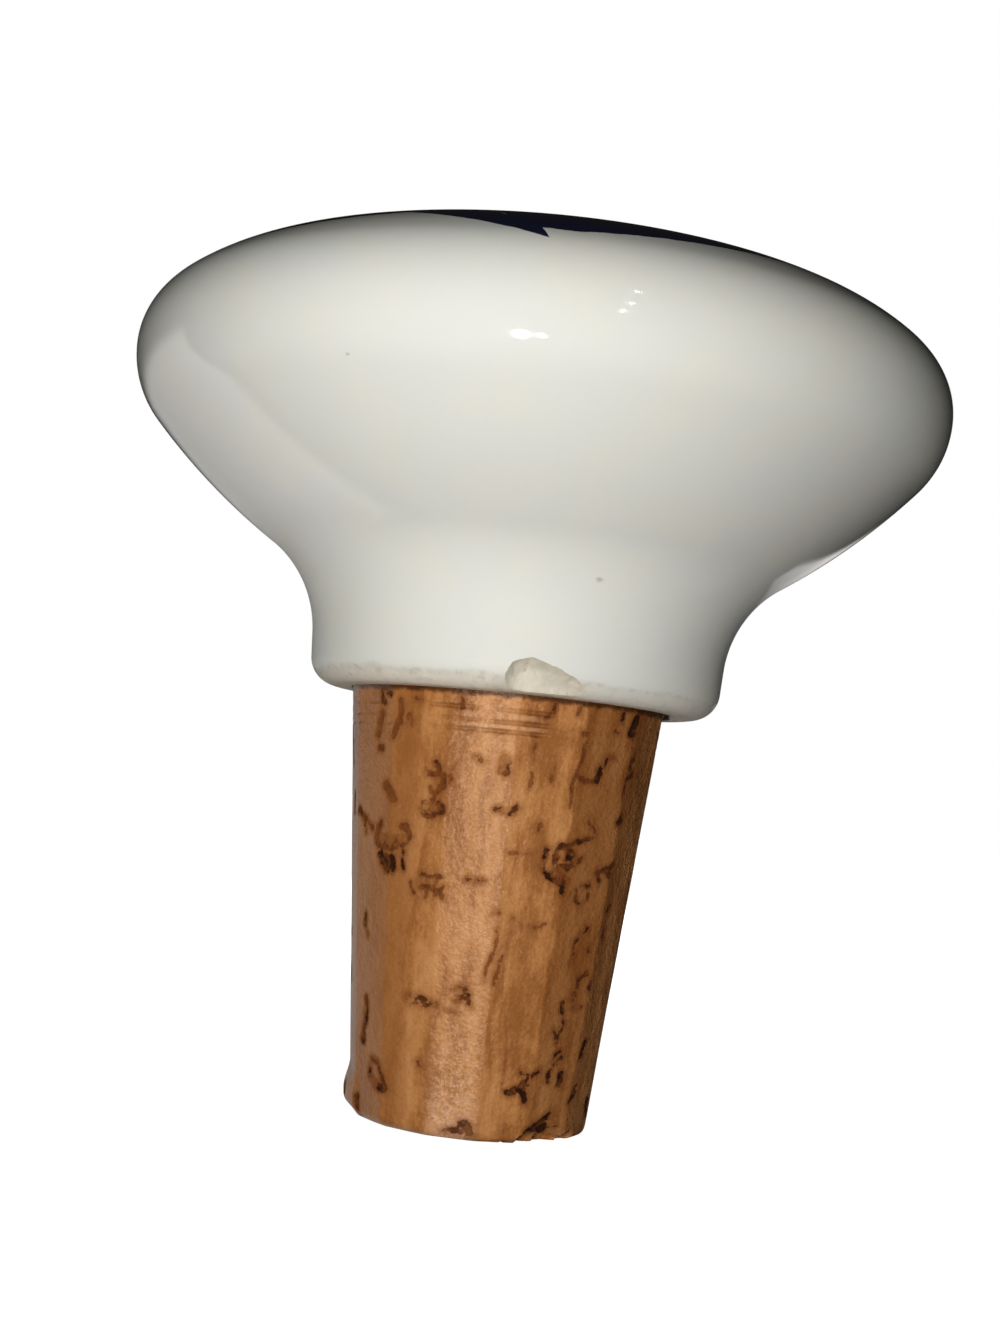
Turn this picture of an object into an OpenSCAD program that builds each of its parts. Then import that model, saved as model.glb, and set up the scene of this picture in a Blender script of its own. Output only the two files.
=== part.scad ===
// Bottle stopper: a hollow ceramic head on a tapered cork.
// The stopper stands on the free end of its cork. The origin is on the head's
// centre line at the level of that end, +Z points up, and the chipped side of the
// collar faces -Y. The cork sits a hair to -X of the head.

/* [Ceramic head] */
// Widest diameter of the head
head_d = 51.8; // [48:0.2:60]
// Rise of the crown above the widest line
crown_h = 8.8; // [7.6:0.1:11]
// Wall of the slip-cast shell
wall = 2.6; // [1.8:0.1:3.4]
// Radius of the tight bend above the widest line
brim_r = 4.6; // [4:0.1:5.4]
// Turn of that bend, in degrees
brim_angle = 50; // [44:1:56]
// Radius of the haunch between the brim and the crown
haunch_r = 12; // [10:0.5:13]
// Radius of the bend below the widest line
under_r = 5.7; // [4.6:0.1:7]
// Turn of that bend, in degrees
under_angle = 42; // [39:1:45]
// Radius of the long, nearly straight flank
flank_r = 41; // [36:1:50]
// Radius of the hollow neck between the flank and the collar
neck_r = 7.5; // [6:0.1:9]

/* [Collar] */
// Height of the collar's straight wall
collar_h = 3.2; // [2.4:0.1:6]
// Draft of the collar's wall, in degrees
collar_draft = 3.7; // [2:0.1:5]
// Radius of the collar's rounded lower edge
lip_r = 1.75; // [1:0.05:2.2]

/* [Cork] */
// Diameter of the cork where it leaves the collar
cork_d = 20; // [18:0.1:22]
// Diameter of the cork's free end
cork_end_d = 15; // [13:0.1:17]
// Length of cork below the collar
cork_length = 26.4; // [22:0.1:34]
// Length of cork inside the socket
cork_seat = 7; // [5:0.1:9]
// Rounding of the free end's edge
cork_edge_r = 0.7; // [0.4:0.05:1.2]
// Distance of the cork's centre line from the head's
cork_shift = 0.3; // [0:0.05:0.5]
// Least clearance between the cork and its socket
fit_gap = 0.05; // [0.05:0.05:0.3]

/* [Wear] */
// Radius of the flake broken from the collar's lower edge
chip_r = 4; // [3:0.1:5]
// Depth of that flake
chip_depth = 1.5; // [1:0.1:1.6]
// Distance of the flake's middle below the collar's underside
chip_drop = 1.2; // [0.8:0.1:1.6]
// Distance of the first turned ring below the collar
ring_first = 1; // [0.6:0.1:2]
// Distance between turned rings
ring_pitch = 0.75; // [0.6:0.05:1.5]
// Radius of the tool's tip that turned the rings
ring_tool_r = 0.35; // [0.2:0.05:0.5]
// Depth of the turned rings
ring_depth = 0.08; // [0.04:0.02:0.16]
// Number of pores scattered over the cork
pore_count = 26; // [12:1:40]
// Radius of each bite that makes up a pore
pore_r = 0.7; // [0.5:0.05:1]
// Depth of the pores in the cork
pore_depth = 0.35; // [0.2:0.05:0.6]
// Least distance of the pores from the free end's edge
pore_margin = 2; // [1:0.5:4]
// Radius of the crumbs broken from the free end's edge
crumb_r = 1.3; // [0.8:0.1:1.6]
// Depth of those crumbs
crumb_depth = 0.7; // [0.4:0.1:0.8]

/* [Hidden] */

$fn = 96;
arc_step = 3;
glaze_white = [0.93, 0.93, 0.9];
cork_brown = [0.7, 0.45, 0.25];

cork_r = cork_d / 2;
cork_end_r = cork_end_d / 2;
cork_taper = (cork_r - cork_end_r) / cork_length;
socket_r = cork_r + cork_shift + fit_gap;
collar_r = socket_r + wall / cos(collar_draft);

// The head's outline is a chain of arcs that run smoothly into each other. Points
// are [radius, height above the collar's underside].
collar_out = heading(-collar_draft);
collar_up = heading(90 - collar_draft);
lip_rise = lip_r * (1 - sin(collar_draft)) / cos(collar_draft);
lip_c = [collar_r, 0] + lip_rise * collar_up - lip_r * collar_out;
neck_c = [collar_r, 0] + collar_h / cos(collar_draft) * collar_up + neck_r * collar_out;

// The flank's arc touches the neck's hollow from outside, which sets its height.
flank_out = heading(-under_angle);
flank_reach = flank_r - under_r;
flank_x = head_d / 2 - under_r - flank_reach * flank_out.x;
flank_c = [flank_x, neck_c.y + sqrt(pow(flank_r + neck_r, 2) - pow(neck_c.x - flank_x, 2))];
flank_end = bearing(neck_c - flank_c);
under_c = flank_c + flank_reach * flank_out;

// The crown's arc touches the haunch and ends level on the centre line.
brim_c = [head_d / 2 - brim_r, under_c.y];
haunch_c = brim_c - (haunch_r - brim_r) * heading(brim_angle);
head_h = brim_c.y + crown_h;
haunch_drop = head_h - haunch_c.y;
haunch_span = pow(haunch_c.x, 2) + pow(haunch_drop, 2) - pow(haunch_r, 2);
crown_r = haunch_span / (2 * (haunch_drop - haunch_r));
crown_c = [0, head_h - crown_r];
crown_start = bearing(haunch_c - crown_c);

// Unit vector at an angle, and the angle of a vector
function heading(angle) = [cos(angle), sin(angle)];
function bearing(v) = atan2(v.y, v.x);

// Points of an arc about a centre
function arc(centre, radius, from, to) =
    let (steps = ceil(abs(to - from) / arc_step))
    [for (i = [0:steps]) centre + radius * heading(from + (to - from) * i / steps)];

// The head's surface from the collar up to the crown, moved inwards by a wall
function head_curve(inset) = concat(
    arc(neck_c, neck_r + inset, 180 - collar_draft, 180 + flank_end),
    arc(flank_c, flank_r - inset, flank_end, -under_angle),
    arc(under_c, under_r - inset, -under_angle, 0),
    arc(brim_c, brim_r - inset, 0, brim_angle),
    arc(haunch_c, haunch_r - inset, brim_angle, crown_start),
    arc(crown_c, crown_r - inset, crown_start, 90)
);

function reversed(points) = [for (i = [len(points) - 1:-1:0]) points[i]];

// Radius of the cork's side at a height above its free end
function cork_side(height) = cork_end_r + cork_taper * min(height, cork_length);

// A point on a circle about the centre line: turn 0 faces -Y, and turns go to +X
function around(turn, radius, height) = [radius * sin(turn), -radius * cos(turn), height];

// Flake broken from the lower edge of the collar, with a thinner tail beside it
module lip_chip() {
    chip_turn = 8;
    tail_turn = 15.5;
    tail_drop = chip_drop * 1.4;
    tail_r = chip_r * 0.8;
    tail_depth = chip_depth * 0.9;
    translate(around(chip_turn, collar_r + chip_r - chip_depth, -chip_drop)) sphere(chip_r);
    translate(around(tail_turn, collar_r + tail_r - tail_depth, -tail_drop)) sphere(tail_r);
}

// One cast shell of even wall, open at the collar
module ceramic_head() {
    color(glaze_white)
    translate([0, 0, cork_length])
    difference() {
        rotate_extrude()
            polygon(concat(
                arc(lip_c, lip_r, -90, -collar_draft),
                head_curve(0),
                reversed(head_curve(wall)),
                [[socket_r, 0]]
            ));
        lip_chip();
    }
}

// Rings turned into the cork just below the collar
module turned_rings() {
    ring_count = 3;
    for (i = [0:ring_count - 1])
        let (height = cork_length - ring_first - i * ring_pitch)
        rotate_extrude()
            translate([cork_side(height) + ring_tool_r - ring_depth, height])
                circle(ring_tool_r, $fn = 24);
}

// A pore: a row of round bites, side by side along the cork's girth
module pore(turn, height, bites) {
    bite_step = 4.5;
    for (i = [0:bites - 1])
        translate(around(turn + i * bite_step, cork_side(height) + pore_r - pore_depth, height))
            sphere(pore_r, $fn = 24);
}

// Pores spread evenly but without a visible order, in short and longer rows
module pores() {
    turn_share = 0.7549;
    rise_share = 0.5698;
    ring_margin = 4 * ring_pitch + ring_first;
    span = cork_length - pore_margin - ring_margin;
    for (i = [0:pore_count - 1])
        let (turn = 360 * ((i * turn_share) % 1), rise = (i * rise_share) % 1)
        pore(turn, pore_margin + span * rise, 1 + i % 3);
}

// Crumbs broken from the edge of the free end
module edge_crumbs() {
    for (turn = [32, 43, -62, 150])
        translate(around(turn, cork_end_r + crumb_r - crumb_depth, -crumb_r / 3))
            sphere(crumb_r, $fn = 32);
}

// One tapered cork; the length inside the socket is straight
module cork() {
    top = cork_length + cork_seat;
    edge_c = [cork_end_r - cork_edge_r, cork_edge_r];
    side_angle = -atan(cork_taper);
    color(cork_brown)
    translate([-cork_shift, 0, 0])
    difference() {
        rotate_extrude()
            polygon(concat(
                [[0, 0]],
                arc(edge_c, cork_edge_r, -90, side_angle),
                [[cork_r, cork_length], [cork_r, top - cork_edge_r]],
                arc([cork_r - cork_edge_r, top - cork_edge_r], cork_edge_r, 0, 90),
                [[0, top]]
            ));
        turned_rings();
        pores();
        edge_crumbs();
    }
}

ceramic_head();
cork();
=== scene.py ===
from math import atan2, ceil, cos, degrees, exp, log, pi, radians, sin, sqrt, tan

import bmesh
import bpy
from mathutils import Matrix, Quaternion, Vector, noise


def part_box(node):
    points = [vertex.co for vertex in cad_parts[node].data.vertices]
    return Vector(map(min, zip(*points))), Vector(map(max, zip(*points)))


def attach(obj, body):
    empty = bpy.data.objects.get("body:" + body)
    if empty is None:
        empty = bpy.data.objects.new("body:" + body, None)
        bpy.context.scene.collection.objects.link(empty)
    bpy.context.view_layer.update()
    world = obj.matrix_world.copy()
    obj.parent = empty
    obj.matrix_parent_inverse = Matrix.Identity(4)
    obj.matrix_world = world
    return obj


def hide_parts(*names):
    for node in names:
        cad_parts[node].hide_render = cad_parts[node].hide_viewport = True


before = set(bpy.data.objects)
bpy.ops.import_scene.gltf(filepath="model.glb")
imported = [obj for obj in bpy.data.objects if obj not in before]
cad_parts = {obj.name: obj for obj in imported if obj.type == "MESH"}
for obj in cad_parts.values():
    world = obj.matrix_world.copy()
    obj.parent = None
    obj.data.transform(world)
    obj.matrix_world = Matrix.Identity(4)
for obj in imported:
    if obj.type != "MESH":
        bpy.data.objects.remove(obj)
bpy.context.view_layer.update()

# A ceramic-headed bottle stopper standing on the free end of its cork. Lengths in the
# names and lists below are millimetres, and MM turns them into the frame's metres. A
# turn is an angle about Z: 0 faces -Y, and turns go to +X.
MM = 0.001


# ---------------------------------------------------------------- sizes from the frame
def node_size(name):
    """Lowest and highest corner of a CAD node's box, in millimetres."""
    low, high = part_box(name)
    return low / MM, high / MM


HEAD_LOW, HEAD_HIGH = node_size("ceramic_head")
CORK_LOW, CORK_HIGH = node_size("cork")
HEAD_R = (HEAD_HIGH.x - HEAD_LOW.x) / 2
COLLAR_Z = HEAD_LOW.z
CROWN_Z = HEAD_HIGH.z
CORK_X = (CORK_LOW.x + CORK_HIGH.x) / 2
CORK_R = (CORK_HIGH.x - CORK_LOW.x) / 2
CORK_TOP = CORK_HIGH.z

# Bends of the head's outline
WALL = 2.6
BRIM_BEND, BRIM_ANGLE = 4.6, 50
HAUNCH_BEND = 12
UNDER_BEND, UNDER_ANGLE = 5.7, 42
FLANK_BEND = 41
NECK_BEND = 7.5
COLLAR_H, COLLAR_DRAFT = 3.2, 3.7
LIP_BEND = 1.75
FIT_GAP = 0.05
SOCKET_R = CORK_R - CORK_X + FIT_GAP

# The cork's taper, edges and flats
CORK_END_R = 7.5
CORK_EDGE_BEND = 0.7
FLATS = 15
FLAT_FROM = 4
FLAT_SHARE = 0.66

# Spacing of the outlines' points
HEAD_STEP, COLLAR_STEP, INSIDE_STEP = 0.24, 0.12, 1.2
CORK_STEP = 0.128


# ---------------------------------------------------------------- node trees
class Socket:
    """An output of a node. Arithmetic on it adds Math nodes to its tree."""

    def __init__(self, tree, socket):
        self.tree, self.socket = tree, socket

    def out(self, name):
        return Socket(self.tree, self.socket.node.outputs[name])

    def math(self, operation, *terms):
        return self.tree.node("ShaderNodeMath", {"operation": operation}, terms)

    def __add__(self, other):
        return self.math("ADD", self, other)

    def __radd__(self, other):
        return self.math("ADD", other, self)

    def __sub__(self, other):
        return self.math("SUBTRACT", self, other)

    def __rsub__(self, other):
        return self.math("SUBTRACT", other, self)

    def __mul__(self, other):
        return self.math("MULTIPLY", self, other)

    def __rmul__(self, other):
        return self.math("MULTIPLY", other, self)

    def __truediv__(self, other):
        return self.math("DIVIDE", self, other)

    def __pow__(self, other):
        return self.math("POWER", self, other)

    def __mod__(self, other):
        return self.math("FLOORED_MODULO", self, other)

    def __abs__(self):
        return self.math("ABSOLUTE", self)

    def __lt__(self, other):
        return self.math("LESS_THAN", self, other)

    def __gt__(self, other):
        return self.math("GREATER_THAN", self, other)

    def __rtruediv__(self, other):
        return self.math("DIVIDE", other, self)

    def floor(self):
        return self.math("FLOOR", self)

    def sin(self):
        return self.math("SINE", self)

    def cos(self):
        return self.math("COSINE", self)

    def least(self, other):
        return self.math("MINIMUM", self, other)

    def most(self, other):
        return self.math("MAXIMUM", self, other)


class Tree:
    """Builds a node tree, either of a material or of Geometry Nodes."""

    def __init__(self, nodes_and_links):
        self.nodes, self.links = nodes_and_links.nodes, nodes_and_links.links

    def node(self, kind, settings=None, values=(), out=0):
        """Adds a node, sets its settings, then its sockets' values or links."""
        made = self.nodes.new(kind)
        for name, value in (settings or {}).items():
            if name == "stops":
                self.set_stops(made.color_ramp, value)
            else:
                setattr(made, name, value)
        pairs = values.items() if isinstance(values, dict) else enumerate(values)
        for key, value in pairs:
            if isinstance(value, Socket):
                self.links.new(value.socket, made.inputs[key])
            else:
                made.inputs[key].default_value = value
        return Socket(self, made.outputs[out]) if made.outputs else made

    def set_stops(self, ramp, stops):
        while len(ramp.elements) < len(stops):
            ramp.elements.new(1)
        for element, (place, colour) in zip(ramp.elements, stops):
            element.position, element.color = place, colour

    def rise(self, value, low, high):
        """0 below low, 1 above high and a smooth rise between."""
        limits = {"Value": value, "From Min": low, "From Max": high}
        return self.node("ShaderNodeMapRange", {"interpolation_type": "SMOOTHSTEP"}, limits)

    def fall(self, value, low, high):
        return 1 - self.rise(value, low, high)

    def vector(self, operation, *terms, out=0):
        return self.node("ShaderNodeVectorMath", {"operation": operation}, terms, out)

    def scaled(self, vector, factor):
        return self.node(
            "ShaderNodeVectorMath", {"operation": "SCALE"}, {"Vector": vector, "Scale": factor}
        )

    def joined(self, x, y, z):
        return self.node("ShaderNodeCombineXYZ", {}, (x, y, z))

    def parts(self, vector):
        """The three numbers of a vector."""
        split = self.node("ShaderNodeSeparateXYZ", {}, (vector,))
        return split.out("X"), split.out("Y"), split.out("Z")

    def turn_of(self, x, y):
        """The turn of a point about Z, in radians."""
        return self.node("ShaderNodeMath", {"operation": "ARCTAN2"}, (x, -1 * y))

    def reach(self, x, y):
        """The length of a flat vector."""
        return (x * x + y * y) ** 0.5

    def noise(self, vector, scale, detail=2.0, roughness=0.5, out="Fac"):
        values = {"Vector": vector, "Scale": scale, "Detail": detail, "Roughness": roughness}
        return self.node("ShaderNodeTexNoise", {}, values, out)

    def seen_ground(self):
        """1 for the rays that see the white ground: the camera's, gloss and clear things."""
        rays = self.node("ShaderNodeLightPath")
        return rays.out("Is Camera Ray").most(rays.out("Is Glossy Ray")).most(rays.out("Is Transmission Ray"))

    def random_vector(self, low, high, seed, stream):
        """A random vector for each element, between two limits."""
        return self.node(
            "FunctionNodeRandomValue",
            {"data_type": "FLOAT_VECTOR"},
            {"Min": low, "Max": high, "Seed": seed * 10 + stream},
        )

    def mix(self, factor, first, second, blend="MIX"):
        """Mixes two colours."""
        settings = {"data_type": "RGBA", "blend_type": blend, "clamp_factor": True}
        return self.node("ShaderNodeMix", settings, {0: factor, 6: first, 7: second}, 2)


def cleared_tree(owner):
    """Turns on the nodes of a material or a world and gives their emptied tree."""
    owner.use_nodes = True
    owner.node_tree.nodes.clear()
    return Tree(owner.node_tree)


def colour(red, green, blue):
    """A linear colour from its values on a 0 to 255 display scale."""
    def linear(level):
        level = level / 255
        return level / 12.92 if level < 0.04045 else ((level + 0.055) / 1.055) ** 2.4
    return (linear(red), linear(green), linear(blue), 1)


# ---------------------------------------------------------------- outlines
def heading(angle):
    return Vector((cos(radians(angle)), sin(radians(angle))))


def bearing(way):
    return degrees(atan2(way.y, way.x))


def arc(centre, radius, start, end, step):
    """Points on an arc, about a step apart, without the first one."""
    count = max(3, ceil(abs(radians(end - start)) * radius / step))
    return [centre + radius * heading(start + (end - start) * i / count) for i in range(1, count + 1)]


def line(start, end, step):
    """Points on a straight line, about a step apart, without the first one."""
    count = max(1, ceil((end - start).length / step))
    return [start.lerp(end, i / count) for i in range(1, count + 1)]


def collar_radius(height):
    """Radius of the collar's wall at a height above its underside."""
    return SOCKET_R + WALL / cos(radians(COLLAR_DRAFT)) + height * tan(radians(COLLAR_DRAFT))


def head_profile():
    """Closed outline of the hollow head: underside, outside, then the inside back down."""
    out, up = heading(-COLLAR_DRAFT), heading(90 - COLLAR_DRAFT)
    foot = Vector((collar_radius(0), 0))
    lip_rise = LIP_BEND * (1 - sin(radians(COLLAR_DRAFT))) / cos(radians(COLLAR_DRAFT))
    lip_c = foot + lip_rise * up - LIP_BEND * out
    neck_c = foot + COLLAR_H / cos(radians(COLLAR_DRAFT)) * up + NECK_BEND * out
    flank_out = heading(-UNDER_ANGLE)
    flank_reach = FLANK_BEND - UNDER_BEND
    flank_x = HEAD_R - UNDER_BEND - flank_reach * flank_out.x
    flank_y = neck_c.y + sqrt((FLANK_BEND + NECK_BEND) ** 2 - (neck_c.x - flank_x) ** 2)
    flank_c = Vector((flank_x, flank_y))
    flank_end = bearing(neck_c - flank_c)
    under_c = flank_c + flank_reach * flank_out
    brim_c = Vector((HEAD_R - BRIM_BEND, under_c.y))
    haunch_c = brim_c - (HAUNCH_BEND - BRIM_BEND) * heading(BRIM_ANGLE)
    head_h = CROWN_Z - COLLAR_Z
    drop = head_h - haunch_c.y
    crown_r = (haunch_c.x**2 + drop**2 - HAUNCH_BEND**2) / (2 * (drop - HAUNCH_BEND))
    crown_c = Vector((0, head_h - crown_r))
    crown_start = bearing(haunch_c - crown_c)

    def shell(inset, step):
        return (
            arc(neck_c, NECK_BEND + inset, 180 - COLLAR_DRAFT, 180 + flank_end, step)
            + arc(flank_c, FLANK_BEND - inset, flank_end, -UNDER_ANGLE, step)
            + arc(under_c, UNDER_BEND - inset, -UNDER_ANGLE, 0, step)
            + arc(brim_c, BRIM_BEND - inset, 0, BRIM_ANGLE, step)
            + arc(haunch_c, HAUNCH_BEND - inset, BRIM_ANGLE, crown_start, step)
            + arc(crown_c, crown_r - inset, crown_start, 90, step)
        )

    socket = Vector((SOCKET_R, 0))
    lip_foot = lip_c + Vector((0, -LIP_BEND))
    points = [socket] + line(socket, lip_foot, COLLAR_STEP)
    points += arc(lip_c, LIP_BEND, -90, -COLLAR_DRAFT, 0.1)
    points += line(points[-1], neck_c + NECK_BEND * heading(180 - COLLAR_DRAFT), COLLAR_STEP)
    points += shell(0, HEAD_STEP)
    inside = shell(WALL, INSIDE_STEP)[::-1]
    points += inside + line(inside[-1], socket, INSIDE_STEP)
    return [Vector((p.x, p.y + COLLAR_Z)) for p in points]


def cork_radius(height):
    """Radius of the cork's side at a height above its free end."""
    return CORK_END_R + (CORK_R - CORK_END_R) * min(height, COLLAR_Z) / COLLAR_Z


def cork_profile():
    """Outline of the cork from the middle of its free end up to the middle of its top."""
    side_angle = -degrees(atan2(CORK_R - CORK_END_R, COLLAR_Z))
    edge_c = Vector((CORK_END_R - CORK_EDGE_BEND, CORK_EDGE_BEND))
    shoulder_c = Vector((CORK_R - CORK_EDGE_BEND, CORK_TOP - CORK_EDGE_BEND))
    start = Vector((0, 0))
    points = [start] + line(start, Vector((edge_c.x, 0)), 0.35)
    points += arc(edge_c, CORK_EDGE_BEND, -90, side_angle, 0.12)
    points += line(points[-1], Vector((CORK_R, COLLAR_Z)), CORK_STEP)
    points += line(points[-1], Vector((CORK_R, shoulder_c.y)), 1.5)
    points += arc(shoulder_c, CORK_EDGE_BEND, 0, 90, 0.3)
    points += line(points[-1], Vector((0, CORK_TOP)), 2)
    return points


# ---------------------------------------------------------------- geometry trees
def geometry_tree(name, sockets):
    """Starts a geometry tree with named inputs, and gives it and its input node."""
    group = bpy.data.node_groups.new(name, "GeometryNodeTree")
    for label, kind in sockets:
        group.interface.new_socket(label, in_out="INPUT", socket_type=kind)
    group.interface.new_socket("Geometry", in_out="OUTPUT", socket_type="NodeSocketGeometry")
    tree = Tree(group)
    return group, tree, tree.node("NodeGroupInput")


def end_tree(tree, geometry, finish):
    """Realizes and finishes a tree's geometry, and hands it to the output."""
    real = tree.node("GeometryNodeRealizeInstances", {}, {"Geometry": geometry})
    smooth = tree.node("GeometryNodeSetShadeSmooth", {}, {"Geometry": real, "Shade Smooth": True})
    coated = tree.node("GeometryNodeSetMaterial", {}, {"Geometry": smooth, "Material": finish})
    tree.node("NodeGroupOutput", {}, {"Geometry": coated})


def turned_form():
    """A tree that turns a chain of points (radius in X, height in Z) about the Z axis.

    Bunching brings the segments closer together at the front, where most marks are.
    """
    group, tree, given = geometry_tree(
        "turned_form",
        [
            ("Geometry", "NodeSocketGeometry"),
            ("Segments", "NodeSocketInt"),
            ("Bunching", "NodeSocketFloat"),
            ("Axis X", "NodeSocketFloat"),
            ("Finish", "NodeSocketMaterial"),
        ],
    )
    profile, segments = given.out("Geometry"), given.out("Segments")
    size = tree.node("GeometryNodeAttributeDomainSize", {"component": "MESH"}, {"Geometry": profile})
    count = size.out("Point Count")
    grid = tree.node(
        "GeometryNodeMeshGrid", {}, {"Vertices X": segments + 1, "Vertices Y": count}
    )
    index = tree.node("GeometryNodeInputIndex")
    column = (index / count).floor()
    even = column / segments * (2 * pi)
    turn = even - given.out("Bunching") * even.sin()
    place = tree.node("GeometryNodeInputPosition")
    sample = tree.node(
        "GeometryNodeSampleIndex",
        {"data_type": "FLOAT_VECTOR"},
        {"Geometry": profile, "Value": place, "Index": index - column * count},
    )
    radius, _, height = tree.parts(sample)
    point = tree.joined(radius * turn.sin() + given.out("Axis X"), -1 * radius * turn.cos(), height)
    turned = tree.node("GeometryNodeSetPosition", {}, {"Geometry": grid, "Position": point})
    closed = tree.node("GeometryNodeMergeByDistance", {}, {"Geometry": turned, "Distance": 0.002 * MM})
    end_tree(tree, closed, given.out("Finish"))
    return group


def with_tree(piece, group, inputs):
    """Runs a geometry tree on an object and leaves the result as its plain mesh."""
    modifier = piece.modifiers.new(group.name, "NODES")
    modifier.node_group = group
    for item in group.interface.items_tree:
        if item.in_out == "INPUT" and item.name in inputs:
            modifier[item.identifier] = inputs[item.name]
    return keep_result(piece)


def keep_result(piece):
    """Replaces an object's mesh by its evaluated one and drops the modifiers."""
    bpy.context.view_layer.update()
    graph = bpy.context.evaluated_depsgraph_get()
    mesh = bpy.data.meshes.new_from_object(
        piece.evaluated_get(graph), preserve_all_data_layers=True, depsgraph=graph
    )
    piece.modifiers.clear()
    piece.data = mesh
    mesh.name = piece.name
    return piece


def new_object(name, vertices, edges=(), faces=()):
    mesh = bpy.data.meshes.new(name)
    mesh.from_pydata(vertices, edges, faces)
    mesh.update()
    piece = bpy.data.objects.new(name, mesh)
    bpy.context.scene.collection.objects.link(piece)
    return piece


def chain_object(name, points):
    """An object whose mesh is an outline's points, in order, joined by edges."""
    vertices = [(p.x * MM, 0, p.y * MM) for p in points]
    return new_object(name, vertices, [(i, i + 1) for i in range(len(vertices) - 1)])


# ---------------------------------------------------------------- the ceramic head
# The flake broken from the collar: slanting lines bound it, given by a point (along the
# girth, above the underside) and the way out of the flake.
FLAKE_EDGES = [
    (Vector((-0.85, 0.3)), Vector((-0.99, 0.14))),
    (Vector((0.2, 1.9)), Vector((-0.5, 0.87))),
    (Vector((1.2, 2.05)), Vector((0.12, 0.99))),
    (Vector((3.3, 1.15)), Vector((0.42, 0.91))),
]
FLAKE_DEPTH = 1.15
FLAKE_ROUNDING = 0.22
CUTTER_STEP = 0.09


def flake_depth(along, height):
    """Depth of the flake below the collar's wall; less than 0 outside its outline."""
    crumble = 0.12 * noise.noise(Vector((along * 1.3, height * 1.3, 4)))
    crumble += 0.05 * noise.noise(Vector((along * 4, height * 4, 9)))
    gaps = [(point - Vector((along, height))).dot(way) + crumble for point, way in FLAKE_EDGES]
    inside = -FLAKE_ROUNDING * log(sum(exp(-gap / FLAKE_ROUNDING) for gap in gaps))
    if inside < 0:
        return 2 * inside
    ripple = 0.05 * noise.noise(Vector((along * 2, height * 2.6, 1)))
    return FLAKE_DEPTH * (1 - exp(-inside / 0.42)) + ripple * min(1, 3 * inside)


def flake_cutter(finish):
    """A closed block whose inner face is the broken face of the flake."""
    alongs = [-2 + CUTTER_STEP * i for i in range(106)]
    heights = [-1.2 + CUTTER_STEP * i for i in range(44)]
    rows, columns = len(heights), len(alongs)
    vertices = []
    for shell in range(2):
        for along in alongs:
            for height in heights:
                turn = along / collar_radius(0)
                wall = collar_radius(max(0, height))
                radius = wall + 4 if shell else wall - flake_depth(along, height)
                place = (radius * sin(turn), -radius * cos(turn), height + COLLAR_Z)
                vertices.append(Vector(place) * MM)
    shift = rows * columns
    faces = []
    for i in range(columns - 1):
        for j in range(rows - 1):
            a, b = i * rows + j, (i + 1) * rows + j
            faces.append((a, a + 1, b + 1, b))
            faces.append((shift + a, shift + b, shift + b + 1, shift + a + 1))
    for i in range(columns - 1):
        for j in (0, rows - 1):
            a, b = i * rows + j, (i + 1) * rows + j
            side = (a, b, shift + b, shift + a)
            faces.append(side if j == 0 else side[::-1])
    for j in range(rows - 1):
        for i in (0, columns - 1):
            a, b = i * rows + j, i * rows + j + 1
            side = (a, shift + a, shift + b, b)
            faces.append(side if i == 0 else side[::-1])
    cutter = new_object("flake_cutter", vertices, (), faces)
    cutter.data.materials.append(finish)
    return cutter


def ceramic_head(glaze, clay):
    """The hollow head, turned from its outline, with the flake broken from its collar."""
    head = chain_object("glazed_head", head_profile())
    with_tree(head, turned_form(), {"Segments": 288, "Bunching": 0.0, "Axis X": 0.0, "Finish": glaze})
    cutter = flake_cutter(clay)
    cut = head.modifiers.new("flake", "BOOLEAN")
    cut.operation = "DIFFERENCE"
    cut.solver = "EXACT"
    cut.material_mode = "TRANSFER"
    cut.object = cutter
    keep_result(head)
    bpy.data.objects.remove(cutter)
    head.data.set_sharp_from_angle(angle=radians(38))
    return head


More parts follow.
